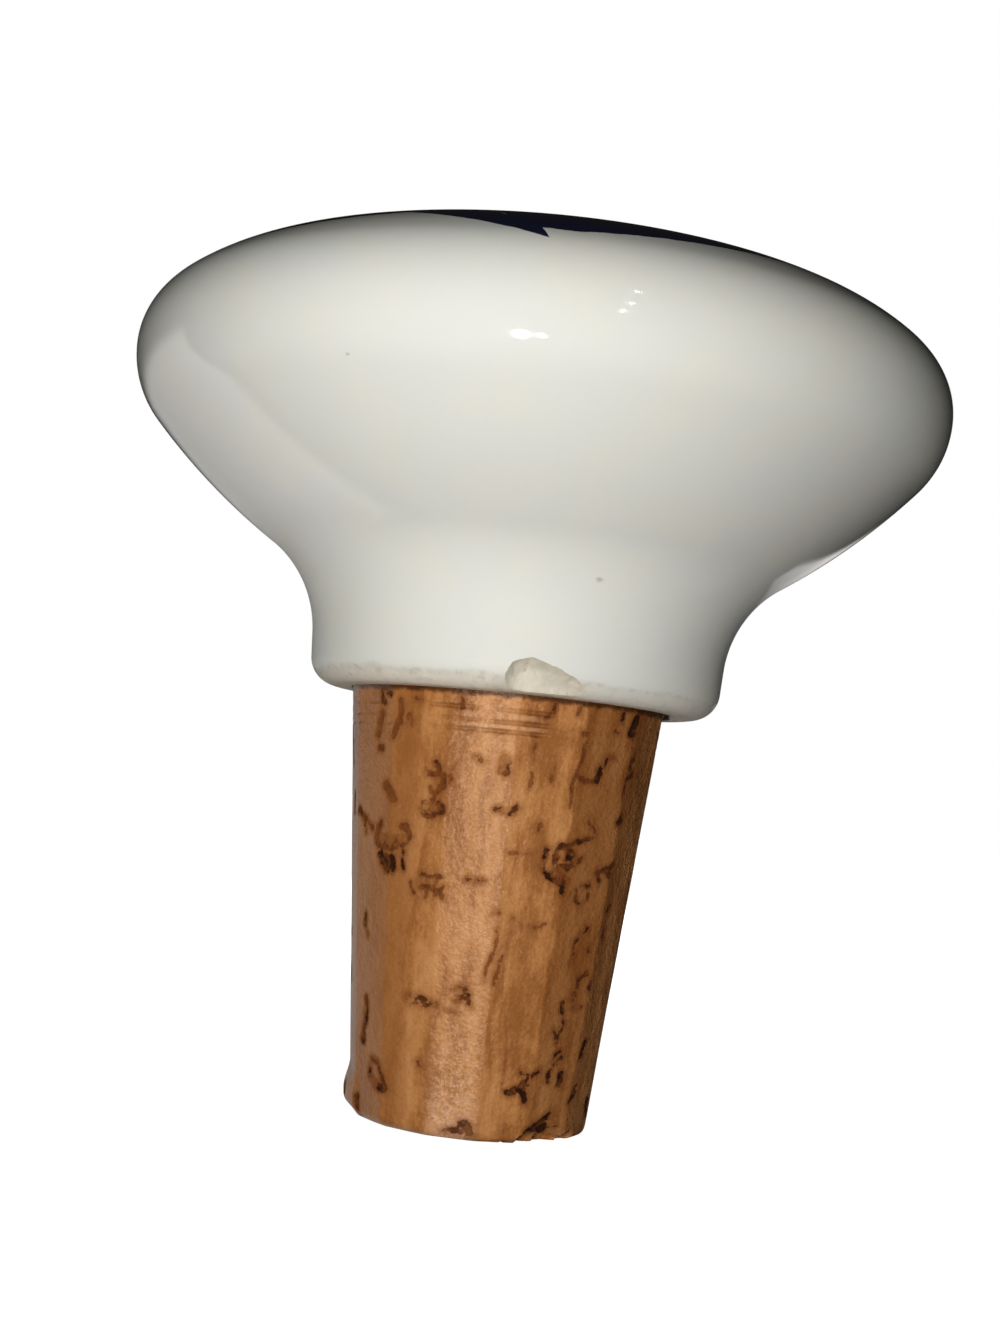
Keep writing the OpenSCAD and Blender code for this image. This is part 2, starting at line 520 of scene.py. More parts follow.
# ---------------------------------------------------------------- the cork
# Pores in the front of the cork, drawn as strokes: the turn in degrees and the height of
# a stroke's middle, its half width, how dark it is, and its points (along the girth, up)
# in millimetres.
PORE_STROKES = [
    (-44, 17.4, 0.13, 0.38, [(-0.9, 0.7), (-1.4, -0.1), (-1.1, -0.6), (-0.3, -0.7), (0.5, -0.7)]),
    (-44, 17.4, 0.13, 0.36, [(0.5, -0.7), (1.2, -0.5), (1.6, 0.1), (1.3, 0.7), (0.9, 0.6)]),
    (-44, 17.2, 0.32, 0.06, [(-0.9, -0.1), (0, -0.2), (1.1, 0)]),
    (-52, 17.4, 0.22, 0.22, [(0.1, 0.4), (-0.1, -0.3)]),
    (-45, 15.8, 0.27, 0.95, [(-0.6, 0.4), (-0.4, 0), (0, -0.3)]),
    (-45, 15.8, 0.16, 0.9, [(0.4, 0.3), (0.5, -0.3)]),
    (-45, 15.8, 0.14, 0.7, [(-0.2, 0.4), (0.3, -0.1)]),
    (-37, 16.1, 0.1, 0.7, [(0, 0.6), (0, 0), (0.1, -0.6)]),
    (-61, 18.1, 0.14, 0.45, [(-0.9, 0.6), (0.2, 0), (0.8, -0.4)]),
    (-61, 18.1, 0.12, 0.45, [(-0.4, 0.2), (0, -0.6)]),
    (-25, 19.2, 0.12, 0.42, [(-0.7, -0.3), (-0.2, -0.4), (0.3, -0.2), (0.6, 0.1), (0.5, 0.4)]),
    (-25, 19.2, 0.3, 0.06, [(-0.5, 0.1), (0.2, 0.1)]),
    (-25, 19.2, 0.07, 0.3, [(-0.7, -0.3), (-0.9, 0.1), (-0.6, 0.5), (0.1, 0.6)]),
    (-21, 19.3, 0.14, 0.65, [(0, 0.1), (0, -0.2)]),
    (-23, 21.2, 0.15, 0.5, [(-0.2, 0.8), (0.1, 0.4)]),
    (-23, 21.2, 0.12, 0.4, [(-0.7, 0.1), (-0.2, 0.1), (0.4, 0.1), (0.5, -0.5), (0.1, -0.8)]),
    (-18, 21.3, 0.06, 0.22, [(0, 0.4), (0, -0.4)]),
    (-25, 20.3, 0.15, 0.2, [(-0.1, 0.1), (0.1, -0.1)]),
    (-16, 25.6, 0.08, 0.4, [(0, 0.3), (0.1, -0.3)]),
    (-50, 25.4, 0.14, 0.5, [(-0.1, 0.4), (-0.1, 0), (0.2, -0.1)]),
    (-46, 25.9, 0.1, 1, [(-0.2, 0), (0.1, 0)]),
    (-52, 24, 0.22, 0.15, [(0.3, 0.7), (0, 0), (-0.2, -0.6)]),
    (-41, 24.4, 0.18, 0.25, [(0.1, 1), (0.1, 0), (-0.4, -1)]),
    (-51, 22.6, 0.13, 0.3, [(-0.2, 0), (0.2, 0)]),
    (-45, 20.1, 0.26, 0.2, [(-0.3, 0.3), (0.4, -0.4)]),
    (-36, 24.5, 0.2, 0.12, [(-0.1, 0.1), (0.1, -0.2)]),
    (-32, 25.6, 0.1, 0.3, [(-0.3, 0), (0.1, 0)]),
    (-8, 22.4, 0.12, 0.35, [(-0.1, 0.1), (0.1, -0.1)]),
    (52, 25.4, 0.24, 1, [(0.2, 0.4), (0, 0), (-0.2, -0.4)]),
    (45, 25.8, 0.1, 0.85, [(0, 0.2), (0, -0.2)]),
    (43, 25, 0.08, 0.4, [(-0.1, 0.3), (-0.1, -0.1), (0.3, -0.2)]),
    (38, 22.2, 0.2, 1, [(0.1, 0.3), (-0.1, -0.3)]),
    (41, 23, 0.11, 0.75, [(-0.1, -0.4), (-0.1, 0.2), (0.5, 0.3)]),
    (33, 21.8, 0.1, 0.3, [(-0.6, 0.1), (0, 0), (0.5, 0)]),
    (28, 22.7, 0.05, 0.3, [(0.2, 1.3), (0.2, 0.3), (-0.2, -0.8), (-0.2, -2.6)]),
    (29, 24.5, 0.12, 0.22, [(-0.1, 0), (0.1, 0)]),
    (1, 22, 0.3, 0.1, [(0, 0.5), (0, -0.1)]),
    (2, 21.8, 0.14, 0.4, [(0, 0.1), (0, -0.1)]),
    (12, 25.1, 0.1, 0.5, [(-0.1, 0), (0.2, 0), (0.6, 0.4)]),
    (11, 22, 0.05, 0.3, [(0, 2), (0, 0.5), (0.1, -1)]),
    (11, 21.2, 0.1, 0.3, [(0, 0.2), (0, -0.2)]),
    (19, 22.2, 0.06, 0.22, [(0.1, 0.7), (0, 0), (-0.1, -0.7)]),
    (16, 25.9, 0.07, 0.6, [(0, 0.2), (0, -0.1)]),
    (25, 25.8, 0.1, 0.25, [(0, 0.2), (0, -0.2)]),
    (55, 22.8, 0.09, 0.55, [(0.2, 1), (-0.2, 0.1), (0.4, -0.3), (-0.4, -0.7), (-0.4, -1.6)]),
    (0, 19.6, 0.11, 0.5, [(-0.1, 0), (0.1, 0)]),
    (6, 19.7, 0.11, 0.5, [(-0.2, -0.2), (0.1, 0.1)]),
    (17, 18.8, 0.12, 0.25, [(0, 0.1), (-0.1, -0.1)]),
    (20, 17, 0.14, 1, [(0, 0.6), (0, 0.1), (-0.1, -0.5), (0.3, -1)]),
    (28, 17.2, 0.14, 0.65, [(-0.6, -0.3), (-0.6, 0.2), (-0.3, 0.6), (0.2, 0.6), (0.5, 0.2)]),
    (30, 16.7, 0.14, 0.48, [(-0.6, -0.1), (0.1, -0.1), (0.9, 0.4)]),
    (28, 17.1, 0.3, 0.1, [(-0.2, 0.2), (0.8, 0)]),
    (27, 16.1, 0.25, 0.12, [(-0.4, 0.1), (0.5, -0.4)]),
    (30, 17.4, 0.13, 0.9, [(-0.1, 0), (0.1, -0.1)]),
    (36, 18.4, 0.1, 0.36, [(-0.8, -0.4), (-0.3, -0.2), (0.7, 0.1), (0.8, 0.5), (0.1, 1)]),
    (34, 18.2, 0.12, 0.65, [(0, 0), (0.1, 0)]),
    (26, 15.8, 0.13, 0.75, [(-0.5, 0.2), (0, -0.1), (0.5, -0.2), (0.4, -0.7)]),
    (27, 16.2, 0.2, 0.3, [(-0.1, 0.3), (0.1, -0.2)]),
    (39, 15, 0.08, 0.6, [(0.5, 0.5), (-0.5, 0.4), (-0.5, -0.3), (0, -0.6), (0.4, -0.3), (0.4, 0.1)]),
    (50, 16.5, 0.12, 0.5, [(0.6, 0.5), (0.2, 0.2), (-0.8, -0.1), (-0.5, -0.6)]),
    (50, 16.5, 0.09, 0.42, [(-0.4, 0.1), (0.6, -0.3)]),
    (53, 19.6, 0.16, 0.65, [(0.2, 0.2), (-0.1, -0.1)]),
    (57, 14.2, 0.12, 0.55, [(0.1, 0.1), (-0.1, -0.1)]),
    (-60, 11.9, 0.1, 0.6, [(0, 0.5), (0, -0.2)]),
    (-58, 11.3, 0.08, 0.7, [(-0.1, 0.1), (0.1, -0.1)]),
    (-25, 14.8, 0.09, 0.4, [(-0.4, 0.5), (0.2, 0.5), (0.8, 0.5)]),
    (-32, 14.5, 0.09, 0.32, [(-0.1, 0.3), (0, 0), (0.2, -0.4)]),
    (-26, 14.4, 0.12, 0.38, [(-0.3, 0.2), (0.3, 0.2), (0.1, -0.4)]),
    (-20, 14.4, 0.1, 0.42, [(-0.4, 0.2), (0, 0), (0.3, -0.3)]),
    (-20, 14.4, 0.08, 0.4, [(0.3, 0.3), (-0.2, -0.2)]),
    (-24, 15, 0.3, 0.08, [(0, 0), (0.3, 0)]),
    (-7, 15.3, 0.07, 0.6, [(-0.5, 0), (0, 0), (0.6, 0)]),
    (-27, 7.9, 0.05, 0.62, [(-0.9, 0.2), (-0.1, 0.3), (0.9, 0), (1.3, -0.1)]),
    (-27, 7.9, 0.05, 0.55, [(-0.8, 0.1), (-0.6, -0.3), (0.4, -0.2), (0.9, 0)]),
    (-27, 7.9, 0.12, 0.5, [(0, 0), (0.6, 0)]),
    (-58, 7, 0.14, 0.55, [(0, 0.4), (0.1, -0.2)]),
    (-59, 5.7, 0.16, 0.6, [(0.1, 0.9), (0.1, 0.3), (-0.1, -0.1), (-0.2, -0.9)]),
    (-48, 3.1, 0.08, 0.5, [(-0.7, 0.7), (-0.8, -0.3), (-0.2, -0.8), (0.9, -0.8)]),
    (-48, 3.1, 0.08, 0.5, [(0.9, -0.8), (0.6, -0.2), (0.2, 0.5), (-0.3, 0.8), (-0.7, 0.7)]),
    (-48, 3.1, 0.13, 0.6, [(-0.7, -0.2), (-0.1, -0.6), (0.5, -0.7)]),
    (-24, 4.2, 0.1, 0.38, [(-0.1, 0.1), (0, -0.1)]),
    (-65, 1, 0.15, 0.5, [(0, 0.3), (0, -0.3)]),
    (-7, 8.5, 0.09, 0.5, [(-0.5, 0.4), (0.1, 0.5), (0.4, -0.2), (0.5, -0.5)]),
    (-7, 8.5, 0.1, 0.5, [(-0.3, -0.4), (0, 0), (0.1, 0.4)]),
    (-7, 8.5, 0.14, 0.6, [(0, 0), (0.3, -0.1)]),
    (-11, 7.5, 0.05, 0.4, [(-0.3, 0.1), (0.3, -0.1)]),
    (-1, 0.8, 0.24, 0.6, [(-0.1, 0.2), (0.2, 0), (0.3, -0.3)]),
    (-6, 0.5, 0.13, 0.5, [(-0.6, 0), (0.4, 0)]),
    (23, 3.2, 0.13, 0.9, [(-0.9, -0.1), (-0.6, -0.2), (-0.2, 0), (0.2, 0)]),
    (23, 3.2, 0.15, 1, [(0.1, 0.1), (0.2, -0.2), (0.3, -0.6)]),
    (23, 3.2, 0.24, 0.45, [(-0.4, 0), (0.1, 0.2), (0.2, 0.5)]),
    (23, 3.2, 0.12, 0.75, [(0.2, 0.1), (0.3, 0.6), (0.4, 0.9), (-0.1, 1.1)]),
    (29, 4.2, 0.08, 0.8, [(-0.3, -0.1), (0.2, 0.2)]),
    (38, 8.2, 0.18, 0.7, [(0, 0.2), (0, -0.2)]),
    (39, 6.9, 0.09, 0.65, [(0.1, 0.6), (0.1, 0), (-0.1, -0.5), (-0.1, -0.8)]),
    (37, 6.6, 0.06, 0.6, [(-0.2, 0.2), (0, -0.2), (0.3, -0.3)]),
    (40, 5.2, 0.12, 1, [(0.1, 0.4), (-0.3, 0), (-0.3, -0.4), (0.2, -0.2), (0.3, 0.1)]),
    (36, 4.1, 0.12, 0.7, [(0.1, 0.4), (0, -0.3)]),
    (43, 4, 0.15, 0.75, [(0, 0.3), (0.1, -0.4)]),
    (56, 5.5, 0.15, 0.85, [(0.2, 0.5), (0, 0), (-0.1, -0.3)]),
    (54, 3, 0.12, 0.65, [(0.4, 0.4), (0, 0), (-0.3, -0.5)]),
    (35, 1.2, 0.16, 1, [(0.8, 0.6), (0.4, 0.4), (-0.2, 0), (-0.8, -0.5)]),
    (34, 1, 0.34, 0.95, [(-0.6, -0.5), (0, -0.1)]),
    (36, 1, 0.26, 0.85, [(-0.2, -0.5), (0.2, 0.1)]),
    (38, 0.7, 0.2, 0.75, [(-0.5, -0.3), (0.1, 0)]),
    (45, 8.6, 0.08, 0.5, [(-0.2, 0.5), (-0.1, -0.4), (0.5, -0.3)]),
    (13, 4.9, 0.06, 0.3, [(0, 0.5), (0, -0.5)]),
    (14, 3.7, 0.1, 0.15, [(0, 0.1), (0, -0.1)]),
    (17, 0.8, 0.1, 0.35, [(0, 0.1), (0, -0.1)]),
    (4, 11.3, 0.04, 0.25, [(0.1, 1.3), (0.1, 0.2), (-0.3, -1), (-0.4, -1.7)]),
    (7, 10.7, 0.04, 0.25, [(0.1, 1), (0, -0.1), (-0.2, -1.3)]),
    (3, 13.6, 0.06, 0.2, [(-0.1, 0), (0.3, 0)]),
    (40, 11.9, 0.09, 0.65, [(0.7, 1.2), (0.5, 0.8), (-0.1, 0.3), (-0.2, -0.1), (0, -0.4), (-0.2, -1.1)]),
    (47, 11.7, 0.1, 0.5, [(0, 0.1), (0.1, -0.1)]),
    (45, 9.9, 0.12, 0.5, [(0.6, 0.4), (-0.1, 0), (0, -0.4)]),
    (53, 9.6, 0.1, 0.6, [(0.1, 0.2), (-0.1, -0.2)]),
    (44, 8.7, 0.09, 0.55, [(0, 0.4), (0, -0.5)]),
    (56, 12.7, 0.1, 0.5, [(0, 0.2), (0, -0.2)]),
    (17, 13, 0.07, 0.25, [(-1, 0.3), (-0.4, -0.1), (0.3, -0.1), (1, 0.1)]),
    (12, 17.2, 0.04, 0.15, [(-0.9, -0.1), (0, 0), (0.9, 0.1)]),
]

# Strokes are placed up to this turn, and pores are scattered beyond it
DRAWN_TURN = 72

# Heights of the turned grooves, and of the lands between them that get a painted highlight
RING_GROOVES = (25.4, 24.7, 24.15)
HIGHLIGHT_LANDS = (25.05, 24.43)


def on_cork(turn, height, along, rise):
    """The place of a stroke's point on the cork's side."""
    z = max(0, height + rise)
    radius = cork_radius(z)
    angle = radians(turn) + along / radius
    return Vector((radius * sin(angle) + CORK_X, -radius * cos(angle), z))


def flat(turn, height, along, rise):
    """The same point in a plane, with the stroke's middle at the origin."""
    return Vector((along, rise, 0))


def stroke_object(name, put):
    """A mesh of edges along the strokes; its points hold the strokes' numbers, widths and tones."""
    vertices, edges, widths, tones, numbers = [], [], [], [], []
    for number, (turn, height, half_width, dark, points) in enumerate(PORE_STROKES):
        first, count = len(vertices), len(points)
        vertices += [put(turn, height, along, rise) * MM for along, rise in points]
        widths += [half_width] * count
        tones += [dark] * count
        numbers += [number] * count
        edges += [(first + i, first + i + 1) for i in range(count - 1)]
    strokes = new_object(name, vertices, edges)
    numbered = (("half_width", "FLOAT", widths), ("dark", "FLOAT", tones), ("stroke", "INT", numbers))
    for label, kind, values in numbered:
        strokes.data.attributes.new(label, kind, "POINT").data.foreach_set("value", values)
    return strokes


# Crumbs broken from the free end: (turn, distance from the axis, height, radius)
CRUMBS = [
    (32, 7.5, -0.45, 1.25),
    (44, 7.5, -0.35, 1.4),
    (57, 7.6, -0.5, 1.2),
    (-62, 7.9, -0.75, 1.2),
    (150, 7.7, -0.5, 1.4),
    (-140, 7.7, -0.7, 1.2),
]


def ring_front(tree, turn):
    """1 where the turned rings show most, towards the front, and 0 well away from it."""
    return tree.fall(abs(turn + 0.1), 0.28, 0.45)


def weathered_cork():
    """A tree that gives a turned cork its flats, grooves, crumbs and pores."""
    group, tree, given = geometry_tree(
        "weathered_cork",
        [
            ("Geometry", "NodeSocketGeometry"),
            ("Placed Strokes", "NodeSocketObject"),
            ("Loose Strokes", "NodeSocketObject"),
            ("Pore Density", "NodeSocketFloat"),
            ("Pit Depth", "NodeSocketFloat"),
            ("Seed", "NodeSocketInt"),
            ("Finish", "NodeSocketMaterial"),
        ],
    )
    position = tree.node("GeometryNodeInputPosition")
    place = tree.vector("SUBTRACT", tree.scaled(position, 1 / MM), (CORK_X, 0, 0))
    x, y, z = tree.parts(place)
    turn = tree.turn_of(x, y)
    radius = tree.reach(x, y)
    below_collar = tree.fall(z, COLLAR_Z - 0.3, COLLAR_Z + 0.3)

    # flats left by the knife
    step = 2 * pi / FLATS
    within = (turn - radians(FLAT_FROM)) % step - step / 2
    chord = cos(step / 2) / within.cos()
    narrowing = 1 - FLAT_SHARE * below_collar * (1 - chord)

    # a burr at the lower left, turned grooves and a slight waviness
    burr = tree.rise(z, 0.25, 0.9) * tree.fall(z, 1.3, 3.2)
    burr = burr * tree.fall(abs(turn + radians(88)), 0.12, 0.5) * 0.42
    wave = tree.noise(tree.vector("MULTIPLY", place, (1, 1, 0.35)), 0.45, 3) - 0.5
    grooves = 0
    for height in RING_GROOVES:
        grooves = grooves + tree.fall(abs(z - height), 0.04, 0.16)
    in_front = ring_front(tree, turn)
    patchy = tree.rise(tree.noise(place, 0.5, 2), 0.36, 0.56) * (0.25 + 0.75 * in_front)
    outward = burr + wave * 0.1 * below_collar - grooves * patchy * 0.07
    side = tree.rise(radius, 6.0, 7.0)
    swell = narrowing + outward * side / radius.most(1)
    shape = tree.joined(x * swell + CORK_X, y * swell, z)

    # crumbs push the surface out of a rough ball
    rough = tree.noise(place, 2.2, 3) - 0.5
    for crumb_turn, reach, height, size in CRUMBS:
        middle = (
            reach * sin(radians(crumb_turn)) + CORK_X,
            -reach * cos(radians(crumb_turn)),
            height,
        )
        away = tree.vector("SUBTRACT", shape, middle)
        span = tree.vector("LENGTH", away, out="Value")
        push = (size + rough * 0.5 - span).most(0) / span.most(0.2)
        shape = tree.vector("ADD", shape, tree.scaled(away, push))
    formed = tree.node(
        "GeometryNodeSetPosition",
        {},
        {"Geometry": given.out("Geometry"), "Position": tree.scaled(shape, MM)},
    )

    # pores scattered where no mark is drawn
    normal = tree.node("GeometryNodeInputNormal")
    free = (abs(turn) > radians(DRAWN_TURN)).most(z < 0.05) * (z < COLLAR_Z)
    crowded = tree.rise(tree.noise(place, 0.22, 2), 0.38, 0.6) + 0.15
    points = tree.node(
        "GeometryNodeDistributePointsOnFaces",
        {"distribute_method": "RANDOM"},
        {
            "Mesh": formed,
            "Selection": free,
            "Density": given.out("Pore Density") * crowded,
            "Seed": given.out("Seed"),
        },
    )
    loose = tree.node("GeometryNodeObjectInfo", {}, {"Object": given.out("Loose Strokes")}).out("Geometry")
    number = tree.node("GeometryNodeInputNamedAttribute", {"data_type": "INT"}, {"Name": "stroke"})
    shapes = tree.node("GeometryNodeSplitToInstances", {}, {"Geometry": loose, "Group ID": number})
    spin = tree.random_vector((0, 0, -0.6), (0, 0, 0.6), given.out("Seed"), 1)
    size = tree.random_vector((0.5, 0.5, 1), (1.3, 1.3, 1), given.out("Seed"), 2)
    instances = tree.node(
        "GeometryNodeInstanceOnPoints",
        {},
        {
            "Points": points,
            "Instance": shapes,
            "Pick Instance": True,
            "Rotation": points.out("Rotation"),
            "Scale": size,
        },
    )
    spun = tree.node("GeometryNodeRotateInstances", {}, {"Instances": instances, "Rotation": spin})
    scattered = tree.node("GeometryNodeRealizeInstances", {}, {"Geometry": spun})
    placed = tree.node("GeometryNodeObjectInfo", {}, {"Object": given.out("Placed Strokes")}).out("Geometry")
    strokes = tree.node("GeometryNodeJoinGeometry")
    tree.links.new(scattered.socket, strokes.socket.node.inputs[0])
    tree.links.new(placed.socket, strokes.socket.node.inputs[0])

    # how far a point is outside the nearest mark, in millimetres
    warp = tree.vector("SUBTRACT", tree.noise(place, 1.3, 4, out="Color"), (0.5, 0.5, 0.5))
    probe = tree.vector("ADD", position, tree.scaled(warp, 0.42 * MM))
    near = tree.node(
        "GeometryNodeProximity", {"target_element": "EDGES"}, {"Geometry": strokes, "Sample Position": probe}
    ).out("Distance")
    nearest = tree.node("GeometryNodeSampleNearest", {}, {"Geometry": strokes, "Sample Position": probe})
    stroke_values = []
    for label in ("half_width", "dark"):
        named = tree.node("GeometryNodeInputNamedAttribute", {"data_type": "FLOAT"}, {"Name": label})
        values = {"Geometry": strokes, "Value": named, "Index": nearest}
        stroke_values.append(tree.node("GeometryNodeSampleIndex", {"data_type": "FLOAT"}, values))
    width, dark = stroke_values
    gap = near / MM - width
    measured = formed
    for label, value in (("mark_gap", gap.least(2)), ("mark_dark", dark)):
        measured = tree.node(
            "GeometryNodeStoreNamedAttribute",
            {"data_type": "FLOAT", "domain": "POINT"},
            {"Geometry": measured, "Name": label, "Value": value},
        )
    depth = tree.fall(gap, -0.12, 0.1) * given.out("Pit Depth") * (0.2 + 0.8 * dark) * (z < COLLAR_Z)
    pitted = tree.node(
        "GeometryNodeSetPosition", {}, {"Geometry": measured, "Offset": tree.scaled(normal, -1 * depth)}
    )
    end_tree(tree, pitted, given.out("Finish"))
    return group


def cork_plug(finish):
    """The tapered cork, turned from its outline, then weathered."""
    cork = chain_object("cork_plug", cork_profile())
    turned = {"Segments": 400, "Bunching": 0.35, "Axis X": CORK_X * MM, "Finish": finish}
    with_tree(cork, turned_form(), turned)
    placed, loose = stroke_object("placed_strokes", on_cork), stroke_object("loose_strokes", flat)
    inputs = {
        "Placed Strokes": placed,
        "Loose Strokes": loose,
        "Pore Density": 1.6e5,
        "Pit Depth": 0.16 * MM,
        "Seed": 5,
        "Finish": finish,
    }
    with_tree(cork, weathered_cork(), inputs)
    bpy.data.objects.remove(placed)
    bpy.data.objects.remove(loose)
    return cork


# ---------------------------------------------------------------- finishes
def new_finish(name, surface):
    """A material whose Principled shader takes the sockets that surface(tree) gives."""
    finish = bpy.data.materials.new(name)
    tree = cleared_tree(finish)
    shader = tree.node("ShaderNodeBsdfPrincipled", {}, surface(tree))
    tree.node("ShaderNodeOutputMaterial", {}, {"Surface": shader})
    return finish


def object_place(tree):
    """The point on the object, in millimetres."""
    return tree.scaled(tree.node("ShaderNodeTexCoord").out("Object"), 1 / MM)


def bump(tree, height):
    """A normal from a height in millimetres."""
    return tree.node("ShaderNodeBump", {}, {"Strength": 1.0, "Distance": MM, "Height": height})


CLAY_LIGHT, CLAY_DARK = colour(230, 222, 202), colour(214, 206, 186)
# the next colour is painted light on the lip's underside
CLAY_PAINTED_LIGHT = colour(250, 240, 223)
DIRT = colour(120, 104, 82)
GLAZE_WARM, GLAZE_COOL = colour(239, 237, 225), colour(236, 236, 228)
SPECK = colour(128, 112, 86)
COBALT_DARK, COBALT_THIN = colour(18, 25, 56), colour(40, 62, 128)

# Specks in the glaze: (turn, height, radius)
SPECKS = [
    (17, 33.1, 0.13),
    (-25, 42.5, 0.075),
]

# The whirl painted on the crown
PETALS = 6
PETAL_TIP = -2.2
PETAL_R, PETAL_FALL, PETAL_HOOK = 24.3, 3.0, 3.55
HOOK_FROM = 0.72


def clay_look(tree, place):
    """Colour and relief of bare, slightly dirty earthenware."""
    grain = tree.noise(place, 6, 5, 0.6)
    shade = tree.mix(tree.rise(tree.noise(place, 0.9, 3), 0.35, 0.65), CLAY_LIGHT, CLAY_DARK)
    specks = tree.fall(tree.noise(place, 3.4, 3), 0.3, 0.37)
    return tree.mix(specks * 0.3, shade, DIRT), grain * 0.03


def bare_clay(tree):
    shade, relief = clay_look(tree, object_place(tree))
    return {"Base Color": shade, "Roughness": 0.85, "Specular IOR Level": 0.3, "Normal": bump(tree, relief)}


def whirl(tree, place, turn, radius):
    """1 inside the painted whirl: hooked petals, a ring and a small flower."""
    span = 360 / PETALS
    slanted = turn * (180 / pi) - PETAL_TIP - 1.3 * (radius - PETAL_R + 0.25)
    share = (slanted % span) / span
    hook = ((share - HOOK_FROM) / (1 - HOOK_FROM)).most(0)
    edge = PETAL_R - PETAL_FALL * share + PETAL_HOOK * hook - 0.25 * tree.fall(share, 0, 0.07)
    hand = (tree.noise(place, 0.8, 2) - 0.5) * 0.25
    petals = tree.fall(radius - edge + hand, -0.03, 0.03)
    sweep = (turn * (180 / pi) - PETAL_TIP + 2.6 * (PETAL_R - radius)) % span - span / 2
    off_gap = (span / 2 - abs(sweep)) * (pi / 180) * radius
    gap_width = (PETAL_R - 2.4 - radius) * 0.07
    gaps = tree.rise(off_gap - gap_width + hand, -0.03, 0.03)
    core = tree.rise(radius + hand, 7.37, 7.43)
    ring = tree.fall(abs(radius + hand - 6.3), 0.2, 0.26)
    flower_edge = 3.1 + 1.3 * (turn * PETALS).cos()
    flower = tree.fall(radius - flower_edge + hand, -0.03, 0.03) * tree.rise(radius, 0.87, 0.93)
    return (petals * gaps * core).most(ring).most(flower)


def white_glaze(tree):
    place = object_place(tree)
    x, y, z = tree.parts(place)
    radius = tree.reach(x, y)
    turn = tree.turn_of(x, y)

    shade = tree.mix(tree.rise(tree.noise(place, 0.22, 3), 0.35, 0.65), GLAZE_WARM, GLAZE_COOL)
    for speck_turn, height, size in SPECKS:
        along = (turn - radians(speck_turn)) * radius * 0.6
        off = tree.reach(along, z - height)
        wobble = tree.noise(place, 5, 2) * 0.12 - 0.06
        shade = tree.mix(tree.fall(off + wobble, size * 0.3, size * 1.5) * 0.4, shade, SPECK)
    pinholes = tree.node("ShaderNodeTexVoronoi", {}, {"Vector": place, "Scale": 0.15}).out("Distance")
    shade = tree.mix(tree.fall(pinholes, 0.012, 0.022) * 0.6, shade, SPECK)

    # the painted whirl lies under the glaze, on the crown only
    painted = whirl(tree, place, turn, radius) * (z > CROWN_Z - 9)
    streaks = tree.vector("MULTIPLY", place, (1, 1, 0.3))
    thin = tree.rise(tree.noise(streaks, 0.7, 4, 0.6), 0.52, 0.8) * tree.fall(radius, 15, 20)
    shade = tree.mix(painted, shade, tree.mix(thin, COBALT_DARK, COBALT_THIN))

    # the glaze ends in a wavy line above the collar's underside
    wave = (tree.noise(place, 0.4, 3) - 0.5) * 1.1 + (tree.noise(place, 2.4, 3) - 0.5) * 0.12
    above = z - COLLAR_Z - 0.88 - wave
    glazed = tree.rise(above, -0.22, 0.22)
    clay, clay_relief = clay_look(tree, place)
    flaked = tree.fall(abs(turn - 0.09), 0.17, 0.22)
    # painted light: the bare clay is made lighter towards the underside of the lip
    clay = tree.mix(tree.fall(z - COLLAR_Z, 0.1, 1.2) * (1 - flaked) * 0.75, clay, CLAY_PAINTED_LIGHT)
    mottle = tree.rise(tree.noise(place, 1.5, 4, 0.6), 0.5, 0.7) * (1 - flaked)
    clay = tree.mix(mottle * 0.25, clay, DIRT)
    line_dirt = tree.fall(abs(above), 0.03, 0.16) * tree.rise(tree.noise(place, 1.8, 3), 0.5, 0.66)
    smeared = 0.15 + 0.4 * tree.rise(turn, 0.26, 0.5) * tree.fall(turn, 1.2, 1.8)
    shade = tree.mix(glazed, tree.mix(smeared, clay, shade), shade)
    shade = tree.mix(line_dirt * 0.14, shade, DIRT)

    thin_glaze = glazed * tree.fall(z, COLLAR_Z + 7, COLLAR_Z + 11)
    swell = tree.noise(place, 0.35, 2) * 0.008 + tree.noise(place, 1.6, 2) * 0.0008
    relief = swell + glazed * 0.05 + (1 - glazed) * clay_relief
    return {
        "Base Color": shade,
        "Roughness": 0.8 - 0.26 * thin_glaze,
        "Specular IOR Level": 0.25,
        "Coat Weight": glazed * (1 - thin_glaze),
        "Coat Roughness": 0.06,
        "Normal": bump(tree, relief),
    }


CORK_PALE, CORK_MID, CORK_DEEP = colour(214, 153, 95), colour(199, 134, 77), colour(164, 103, 52)
# the second colour on the next line paints sheen and highlights on the cork
CORK_LAYER, CORK_PAINTED_SHEEN = colour(146, 86, 38), colour(236, 184, 142)
PORE_DARK, PORE_BROWN = colour(50, 20, 5), colour(116, 56, 16)


